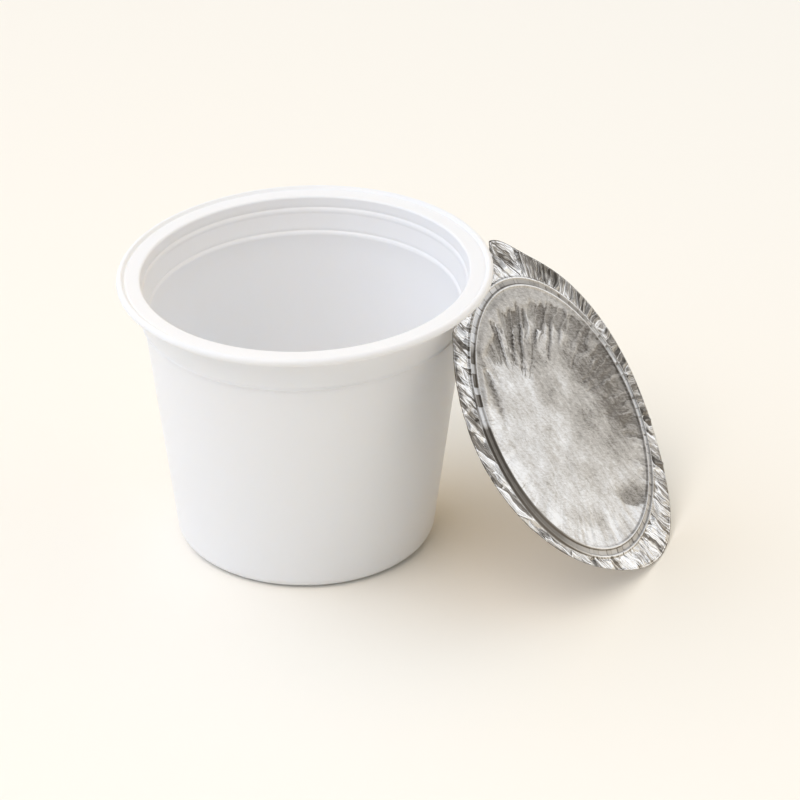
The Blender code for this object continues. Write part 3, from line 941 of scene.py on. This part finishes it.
def lid_foil(settings):
    """Thin aluminium foil whose colour carries painted light and shade: painted bright on open areas, painted shade
    in folds and dents, with fine brushed lines down it.
    """
    material, w, shader = new_material("lid foil", {"Metallic": 1.0})
    parts = w.parts(w.add("ShaderNodeUVMap", uv_map="plane").outputs[0])
    x = w.times(w.minus(parts["X"], 0.5), PLANE_SIZE / MM)
    y = w.times(w.minus(parts["Y"], 0.5), PLANE_SIZE / MM)
    creases = Creases(w, x, y, settings.seed, settings.crimp_count)

    patterns = (BRUSHED_LINES, SOFT_STREAKS, MOTTLE, FINE_GRAIN)
    brushed, streaks, mottle, grain = (w.drawn_out(creases.side, creases.down, pattern) for pattern in patterns)
    clouds = w.noise(creases.flat, 0.14, 3.0, 0.5, seed=6.0)
    # fine wrinkles run down to the right across the panel
    slant_side = w.plus(w.times(x, 1.7), w.times(y, 2.6), w.times(mottle, 1.5))
    slant_down = w.minus(w.times(x, 0.5), w.times(y, 0.33))
    wrinkles = w.noise(w.vector(slant_side, slant_down), 1.0, 2.0, 0.7, seed=7.0)

    # the panel, with painted light and shade standing in for its reflections
    panel = w.plus(creases.by_angle(PANEL_PAINTED_LIGHT), w.times(streaks, 0.14))
    # painted light across the middle of the panel
    middle = w.step(w.minus(x, w.times(y, 0.5)), *MIDDLE_PAINTED_LIGHT)
    panel = w.blend(middle, panel, w.step(creases.radius, 6.0, 22.0))
    panel = w.plus(panel, w.times(streaks, 0.14), w.times(clouds, 0.42), w.times(mottle, 0.42))
    # a painted highlight along the panel's border inside the ring
    border_highlight_share = w.times(w.step(creases.radius, 22.0, 25.0), w.step(creases.radius, 28.0, 27.0))
    panel = w.plus(panel, w.times(border_highlight_share, creases.by_angle(BORDER_HIGHLIGHT), 0.3))
    # a soft painted grey streak down from the top, a dark reflection
    level, steep = STREAK_TURN
    from_x, from_y = w.minus(x, STREAK_PLACE[0]), w.minus(y, STREAK_PLACE[1])
    streak_side = w.minus(w.times(from_x, level), w.times(from_y, steep))
    streak_side = w.plus(streak_side, w.times(clouds, 3.0))
    streak_down = w.plus(w.times(from_y, level), w.times(from_x, steep))
    streak = w.times(w.step(w.size(streak_side), *STREAK_WIDTH), w.step(w.size(streak_down), *STREAK_LENGTH))
    panel = w.minus(panel, w.times(streak, STREAK_DARK_REFLECTION))
    # the smooth hem is painted a mottled middle grey, as its reflection
    hem_share = w.times(w.step(creases.inside, 0.1, -0.1), creases.by_angle(HEM_SHOWS))
    panel = w.blend(panel, w.plus(0.46, w.times(mottle, 0.2)), hem_share)
    petals = w.times(w.noise(creases.around, 0.55, 3.0, 0.6, seed=9.0), w.step(creases.radius, 15.0, 24.0))
    panel = w.plus(panel, w.times(petals, creases.by_angle(LOBES), 0.6))
    ticks = w.noise(creases.around, 2.4, 2.0, seed=w.plus(settings.seed, 53.0))
    ticks = w.times(w.step(ticks, 0.2, 0.5), w.step(creases.radius, 23.5, 27.0), 0.4)
    # painted shade in the folds, and darker on the ticks near the ring
    panel = w.times(panel, w.minus(1.0, ticks), w.minus(1.0, w.times(creases.fold_hollow_shade, 0.9)))
    # painted shade in the dents
    for dent in DENTS:
        panel = w.times(panel, w.minus(1.0, w.times(dent_share(creases, dent), dent[-1])))
    # painted highlights on the folds' raised strips
    panel = w.plus(panel, w.times(creases.fold_crest_highlight, 0.2))
    # darker brushed lines, and painted light and shade on the fine wrinkles
    brushed_lines_and_wrinkle_shade = w.plus(w.step(brushed, 0.2, 0.45, 0.0, 0.4), w.step(wrinkles, 0.2, 0.4, 0.0, 0.35))
    panel = w.plus(w.minus(panel, brushed_lines_and_wrinkle_shade), w.times(brushed, 0.2), w.times(grain, 0.35), w.times(wrinkles, 0.45))

    # the ring, with painted light and shade standing in for its reflections
    ring = w.times(creases.by_angle(RING_PAINTED_LIGHT), w.plus(w.times(creases.crimp_number, 0.3), 0.85))
    # painted shade in the gaps between crimped pieces, except on the left
    gap = w.step(w.size(creases.crimp_place), CRIMP_GAP, 0.48, 0.0, 0.75)
    ring = w.times(ring, w.minus(1.0, w.times(gap, w.minus(1.0, creases.left))))
    # on its upper left some crimped pieces are painted dark, as dark reflections
    dark_piece_reflections = w.times(creases.by_angle(DARK_RING_REFLECTIONS), w.step(creases.crimp_number, 0.45, 0.35))
    ring = w.times(ring, w.minus(1.0, w.times(dark_piece_reflections, 0.85)))
    ring = w.plus(ring, w.times(brushed, 0.08))
    # painted highlights on the ring's two crests, dimmer on the left, and painted shade just outside each
    crest_highlights_and_shade = 0.0
    for crest in (RING_INNER_RADIUS / MM, RING_OUTER_RADIUS / MM):
        off = w.minus(creases.radius, crest)
        bright = w.step(w.size(off), *RIDGE_GLINT)
        bright = w.times(bright, w.minus(1.0, w.times(creases.left, 0.9)))
        shade = w.step(w.size(w.minus(off, RIDGE_SHADE_OFFSET)), *RIDGE_SHADE)
        crest_highlights_and_shade = w.plus(crest_highlights_and_shade, bright, shade)

    # the flange, with painted light and shade standing in for its reflections
    leaves, slivers = creases.leaves, creases.slivers
    fine = creases.by_angle(FINE_SIDE)
    coarse = w.minus(1.0, fine)
    shift = w.plus(
        w.times(w.minus(leaves["numbers"][0], 0.5), w.plus(w.times(coarse, 0.35), 0.1)),
        w.times(w.minus(slivers["numbers"][0], 0.5), w.plus(w.times(fine, 0.35), 0.1)),
    )
    # painted shading across each fold, lighter on one side and darker on the other
    pleat_shading = w.plus(w.times(leaves["across"], coarse, 0.5), w.times(slivers["across"], fine, 0.4))
    # the tab's top is painted darker, as a dark reflection
    tab_top_dark_reflection = w.times(w.step(creases.radius, 32.4, 34.0), w.step(y, 15.0, 20.0))
    light = w.plus(creases.by_angle(FLANGE_PAINTED_LIGHT), shift, pleat_shading, w.times(tab_top_dark_reflection, -0.4))
    # some folds are painted dark, as dark reflections
    dark_reflection_share = creases.by_angle(FLANGE_DARK_REFLECTIONS)
    is_dark_reflection = w.math(
        "MAXIMUM",
        w.step(w.minus(leaves["numbers"][2], w.times(dark_reflection_share, coarse, 1.2)), 0.03, -0.03),
        w.step(w.minus(slivers["numbers"][2], w.times(dark_reflection_share, fine, 1.2)), 0.03, -0.03),
    )
    leaf = w.blend(light, w.plus(0.1, w.times(pleat_shading, 0.2)), is_dark_reflection)
    strokes = w.drawn_out(creases.leaf_side, creases.leaf_down, LEAF_STROKES)
    leaf = w.plus(leaf, w.times(strokes, 0.85), w.times(w.step(strokes, -0.2, -0.32), -0.3))
    # each fold's border is a thin line, a painted glint or a line of painted shade
    for cells, width, strength in (
        (leaves, LEAF_LINE, w.plus(w.times(coarse, 0.6), 0.4)),
        (slivers, SLIVER_LINE, w.times(fine, 0.9)),
    ):
        line = w.times(w.step(cells["edge"], width, width / 3), strength)
        is_glint = w.step(cells["numbers"][1], 0.45, 0.5)
        leaf = w.plus(leaf, w.times(line, w.minus(w.times(is_glint, 1.25), 0.7)))
    # the rolled edge: a line of painted shade, a painted highlight and a border of painted shade
    to_edge = w.add("ShaderNodeAttribute", attribute_name="flange").outputs["Fac"]
    for start, full, end, faded, strength in EDGE_SHADE_AND_HIGHLIGHT_LINES:
        leaf = w.plus(leaf, w.times(w.step(to_edge, start, full), w.step(to_edge, end, faded), strength))
    leaf = w.plus(leaf, w.times(w.step(to_edge, 0.96, 0.985), -0.5))

    # the painted light and shade of panel, ring and flange picks a colour between the dark, middle and light foil
    # colours
    painted_light_tone = w.blend(panel, ring, creases.band)
    painted_light_tone = w.plus(w.blend(painted_light_tone, leaf, creases.on_flange), crest_highlights_and_shade)
    dim = w.mix_colour(w.times(painted_light_tone, 2.0), settings.shaded_foil_colour, settings.middle_colour)
    w.feed(shader["Base Color"], w.mix_colour(w.plus(w.times(painted_light_tone, 2.0), -1.0), dim, settings.light_colour))
    rough = w.plus(FOIL_ROUGHNESS, w.times(streaks, 0.05), w.times(creases.on_flange, -0.13))
    w.feed(shader["Roughness"], rough)
    crumple = w.plus(w.times(brushed, 0.04 * MM), w.times(mottle, 0.06 * MM))
    bump = w.add("ShaderNodeBump", {"Height": crumple, "Strength": 0.8, "Distance": 1.0})
    w.feed(shader["Normal"], bump.outputs[0])
    return material


class FOODCUP_OT_lid(bpy.types.Operator):
    """Make the creased foil lid and lean it on the cup"""

    bl_idname = "foodcup.lid"
    bl_label = "Make the foil lid"

    def execute(self, context):
        settings = context.scene.food_cup_lid
        lid = new_object("creased_foil_lid", flat_sheet())
        numbers = shown_numbers(settings)
        grow(lid, foil_relief_tree(numbers), {**numbers, "Material": lid_foil(settings)})
        sheet = lid.modifiers.new("foil thickness", "SOLIDIFY")
        sheet.thickness = FOIL_THICKNESS
        sheet.offset = -1.0
        keep_result(lid)
        lid.data.transform(Matrix.Rotation(LID_TURN, 4, "Z") @ Matrix.Rotation(LID_LEAN, 4, "X"))
        lowest = min(vert.co.z for vert in lid.data.vertices)
        lid.data.transform(Matrix.Translation((*LID_PLACE, FLOOR_GAP - lowest)))
        hand_over(lid, "foil_lid")
        return {"FINISHED"}


# --- the stage ---


def add_floor(colour):
    """A matt floor, a hair below the cup's base."""
    bm = bmesh.new()
    bmesh.ops.create_grid(bm, x_segments=1, y_segments=1, size=FLOOR_SIZE)
    mesh = bpy.data.meshes.new("floor")
    bm.to_mesh(mesh)
    bm.free()
    mesh.materials.append(new_material("floor", {"Base Color": colour, **FLOOR_FINISH})[0])
    floor = new_object("floor", mesh)
    floor.location.z = FLOOR_LEVEL


def add_key_light(power):
    light = bpy.data.lights.new("key", "AREA")
    light.shape = "DISK"
    light.size = KEY_SIZE
    light.energy = power
    light.color = KEY_LIGHT
    key = new_object("key", light)
    key.location = KEY_PLACE
    key.rotation_euler = (Vector(KEY_AIM) - Vector(KEY_PLACE)).to_track_quat("-Z", "Y").to_euler()


def add_room_light(strength):
    """Soft light from above and from the sides, cool on the left and warm on the right and at the back.

    What glossy surfaces mirror is a room of its own, pale along the horizon and on the left and
    darker higher up, and the camera sees a plain pale wall.
    """
    world = bpy.data.worlds.new("room")
    world.use_nodes = True
    bpy.context.scene.world = world
    w = Wiring(world.node_tree)
    background = world.node_tree.nodes["Background"]
    x, y, z = w.parts(w.add("ShaderNodeTexCoord").outputs["Generated"]).values()
    left, right, back = w.above_zero(w.times(x, -1.0)), w.above_zero(x), w.above_zero(y)
    black = (0.0, 0.0, 0.0)
    soft = black
    for share, colour in (
        (w.times(z, z), CEILING_LIGHT),
        (w.times(left, z, 2.0), LEFT_LIGHT),
        (w.times(right, z, 2.0), RIGHT_LIGHT),
        (w.times(back, back), BACK_LIGHT),
    ):
        soft = w.mix_colour(1.0, soft, w.mix_colour(share, black, colour), "ADD")
    wall = w.step(z, *MIRRORED_WALL)
    mirrored = w.mix_colour(w.math("MAXIMUM", wall, w.step(x, *MIRRORED_SIDE)), black, MIRRORED_LIGHT)
    rays = w.add("ShaderNodeLightPath").outputs
    seen = w.mix_colour(rays["Is Glossy Ray"], soft, mirrored)
    w.feed(background.inputs["Color"], w.mix_colour(rays["Is Camera Ray"], seen, PALE_WALL))
    background.inputs["Strength"].default_value = strength


def add_camera(settings):
    camera = bpy.data.cameras.new("camera")
    camera.lens = settings.camera_lens
    camera.sensor_width = SENSOR_WIDTH
    camera.clip_start, camera.clip_end = CAMERA_RANGE
    obj = new_object("camera", camera)
    obj.location = settings.camera_place
    obj.rotation_euler = (settings.camera_tilt, 0.0, 0.0)
    bpy.context.scene.camera = obj


class FOODCUP_OT_stage(bpy.types.Operator):
    """Lay the floor, and set the lights and the camera"""

    bl_idname = "foodcup.stage"
    bl_label = "Set the stage"

    def execute(self, context):
        settings = context.scene.food_cup_stage
        add_floor(settings.floor_colour)
        add_key_light(settings.key_power)
        add_room_light(settings.room_light)
        add_camera(settings)
        context.scene.view_settings.view_transform = "Standard"
        return {"FINISHED"}


class FOODCUP_PT_panel(bpy.types.Panel):
    """Lists the settings and the operators of the food cup"""

    bl_label = "Food cup"
    bl_idname = "FOODCUP_PT_panel"
    bl_space_type = "VIEW_3D"
    bl_region_type = "UI"
    bl_category = "Food cup"

    def draw(self, context):
        layout = self.layout
        scene = context.scene
        for operator, settings in (
            ("foodcup.cup", scene.food_cup),
            ("foodcup.lid", scene.food_cup_lid),
            ("foodcup.stage", scene.food_cup_stage),
        ):
            box = layout.box()
            for name in settings.bl_rna.properties.keys():
                if name not in ("rna_type", "name"):
                    box.prop(settings, name)
            box.operator(operator)


CLASSES = (
    CupSettings,
    LidSettings,
    StageSettings,
    FOODCUP_OT_cup,
    FOODCUP_OT_lid,
    FOODCUP_OT_stage,
    FOODCUP_PT_panel,
)


def register():
    for cls in CLASSES:
        bpy.utils.register_class(cls)
    bpy.types.Scene.food_cup = bpy.props.PointerProperty(type=CupSettings)
    bpy.types.Scene.food_cup_lid = bpy.props.PointerProperty(type=LidSettings)
    bpy.types.Scene.food_cup_stage = bpy.props.PointerProperty(type=StageSettings)


def unregister():
    del bpy.types.Scene.food_cup_stage
    del bpy.types.Scene.food_cup_lid
    del bpy.types.Scene.food_cup
    for cls in reversed(CLASSES):
        bpy.utils.unregister_class(cls)


def main():
    register()
    bpy.ops.foodcup.cup()
    bpy.ops.foodcup.lid()
    bpy.ops.foodcup.stage()


if __name__ == "__main__":
    main()
